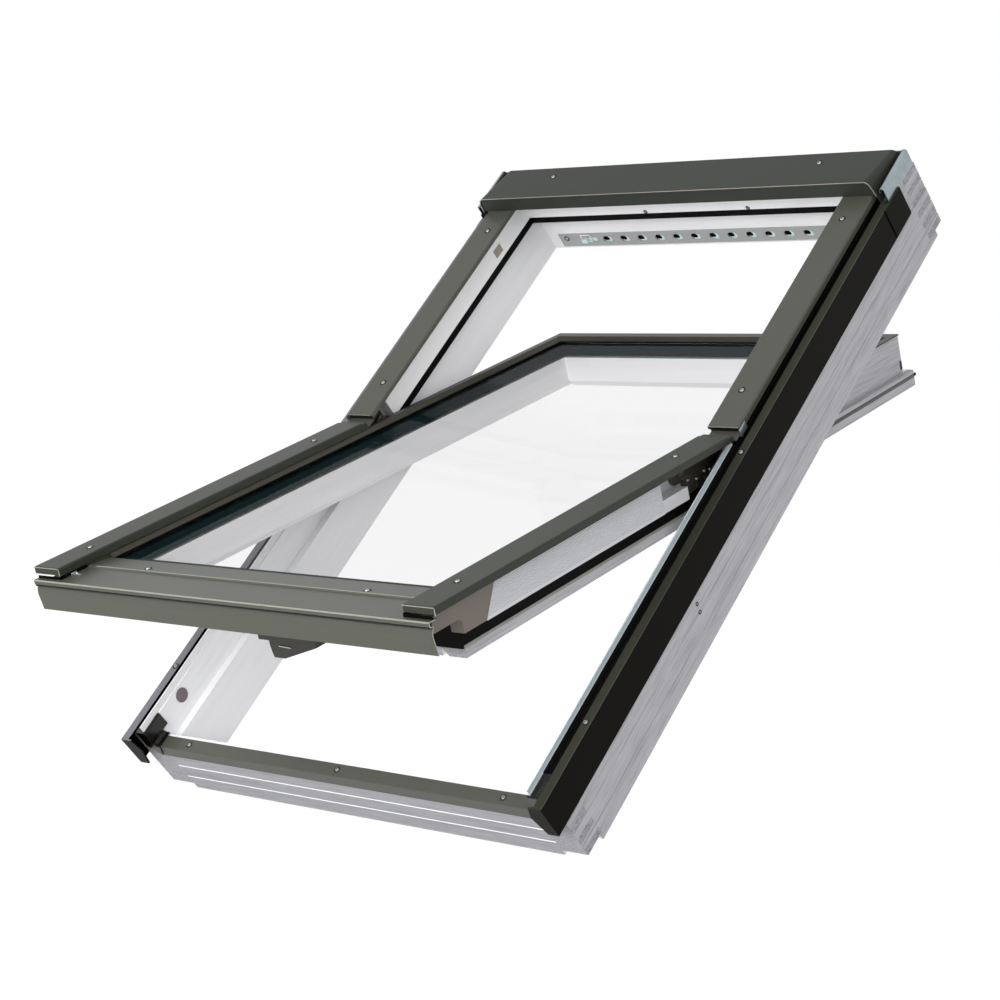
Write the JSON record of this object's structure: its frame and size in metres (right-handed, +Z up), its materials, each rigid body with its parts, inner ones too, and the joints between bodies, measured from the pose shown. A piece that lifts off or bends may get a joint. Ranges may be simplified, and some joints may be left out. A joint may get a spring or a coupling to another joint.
{
  "type": "centre pivot roof window",
  "caption": "Sloping roof window whose glazed sash turns about its middle in a white wooden frame with metal covers, a vent grille and a bottom handle.",
  "frame": {"origin": "middle of the bottom member's room-side face, which lies against the roof", "axes": "+X across the window, +Z up; the window plane is pitched 45 degrees and rises towards +Y"},
  "size_m": [0.787, 1.1266, 0.9405],
  "materials": {
    "black_plastic": "black moulded plastic",
    "black_rubber": "matt black weather seal",
    "black_steel": "black coated steel",
    "brown_plug": "brown plug",
    "clear_glass": "clear float glass",
    "dark_spacer": "dark edge seal",
    "galvanised_steel": "galvanised sheet",
    "grey_brown_aluminium": "satin grey-brown coating",
    "grey_grille_sheet": "plain grey coating",
    "olive_handle_metal": "dark olive-grey satin coating",
    "ribbed_aluminium": "finely ribbed pale aluminium",
    "taupe_plastic": "taupe moulded plastic",
    "white_painted_wood": "white paint, slight sheen, faint grain and long milled grooves",
    "white_plastic": "white moulded plastic"
  },
  "bodies": {
    "frame": {"frame_bolt_plugs": "brown_plug", "frame_bottom_cover": "grey_brown_aluminium", "frame_bottom_member": "white_painted_wood", "frame_left_corner_piece": "black_plastic", "frame_left_hinge": "black_steel", "frame_left_member": "white_painted_wood", "frame_left_profile": "grey_brown_aluminium", "frame_left_stop": "white_painted_wood", "frame_left_upper_cover": "grey_brown_aluminium", "frame_left_upstand": "ribbed_aluminium", "frame_right_corner_piece": "black_plastic", "frame_right_hinge": "black_steel", "frame_right_member": "white_painted_wood", "frame_right_profile": "grey_brown_aluminium", "frame_right_stop": "white_painted_wood", "frame_right_upper_cover": "grey_brown_aluminium", "frame_right_upstand": "ribbed_aluminium", "frame_side_gaskets": "black_rubber", "frame_stop_gasket": "black_rubber", "frame_top_hood": "grey_brown_aluminium", "frame_top_member": "white_painted_wood", "frame_top_stop": "white_painted_wood", "hood_left_bracket": "galvanised_steel", "hood_right_bracket": "galvanised_steel", "vent_grille": "grey_grille_sheet"},
    "sash": {"handle_base": "olive_handle_metal", "inner_pane": "clear_glass", "outer_pane": "clear_glass", "pane_spacer": "dark_spacer", "sash_bottom_cover": "grey_brown_aluminium", "sash_bottom_member": "white_painted_wood", "sash_end_pieces": "taupe_plastic", "sash_glazing_profile": "grey_brown_aluminium", "sash_left_cover": "grey_brown_aluminium", "sash_left_hinge": "black_steel", "sash_left_member": "white_painted_wood", "sash_left_rib_strip": "white_plastic", "sash_right_cover": "grey_brown_aluminium", "sash_right_hinge": "black_steel", "sash_right_member": "white_painted_wood", "sash_right_rib_strip": "white_plastic", "sash_side_gaskets": "black_rubber", "sash_top_member": "white_painted_wood"},
    "handle": {"handle_lever": "olive_handle_metal"},
    "vent_shutter": {"vent_slider": "white_plastic"}
  },
  "joints": [
    {"name": "sash_pivot", "type": "hinge", "parent": "frame", "child": "sash", "pos_m": [0, 0.32032, 0.51831], "axis": [-1, 0, 0], "range_deg": [-27.5, 92.5]},
    {"name": "handle_turn", "type": "hinge", "parent": "sash", "child": "handle", "pos_m": [-0.007, -0.17074, 0.25338], "axis": [0, -0.3007, 0.9537], "range_deg": [0, 90]},
    {"name": "vent_slide", "type": "slide", "parent": "frame", "child": "vent_shutter", "axis": [1, 0, 0], "range_m": [0, 0.018]}
  ]
}
